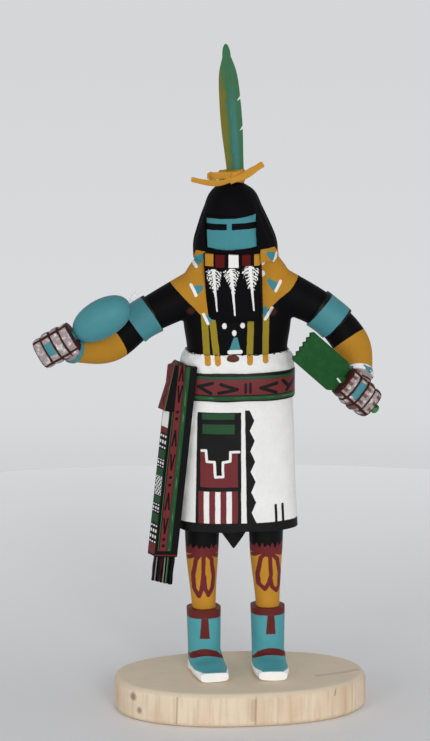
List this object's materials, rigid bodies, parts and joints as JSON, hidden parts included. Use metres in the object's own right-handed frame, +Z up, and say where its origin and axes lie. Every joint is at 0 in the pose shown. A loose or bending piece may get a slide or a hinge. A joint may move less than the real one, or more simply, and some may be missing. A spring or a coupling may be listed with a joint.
{
  "type": "carved dancer figure on a stand",
  "caption": "Carved and painted wooden dancer figure with mask, kilt, sash, rattle and bough, standing on an oval wood slab.",
  "frame": {"origin": "centre of the oval slab's underside", "axes": "+Z up through the figure, -Y towards the viewer, where the figure faces, +X to the viewer's right"},
  "size_m": [0.154, 0.074, 0.3012],
  "materials": {
    "pale_wood": "bare sanded pale wood with growth rings",
    "painted_wood": "matte to satin brushed paint over carved wood",
    "painted_sash": "satin brushed paint over carved wood",
    "dyed_feather": "thin carved blade with brushed paint",
    "ochre_tie": "satin brushed paint",
    "turquoise_paint": "smooth satin paint",
    "white_down": "soft thin down",
    "green_paint": "satin brushed paint over chiselled wood"
  },
  "bodies": {
    "root": {"wood_base": "pale_wood", "carved_figure": "painted_wood", "sash_tail": "painted_sash", "head_feather": "dyed_feather", "crown_tie": "ochre_tie", "gourd_rattle": "turquoise_paint", "rattle_down_feather": "white_down", "evergreen_bough": "green_paint"}
  },
  "joints": []
}
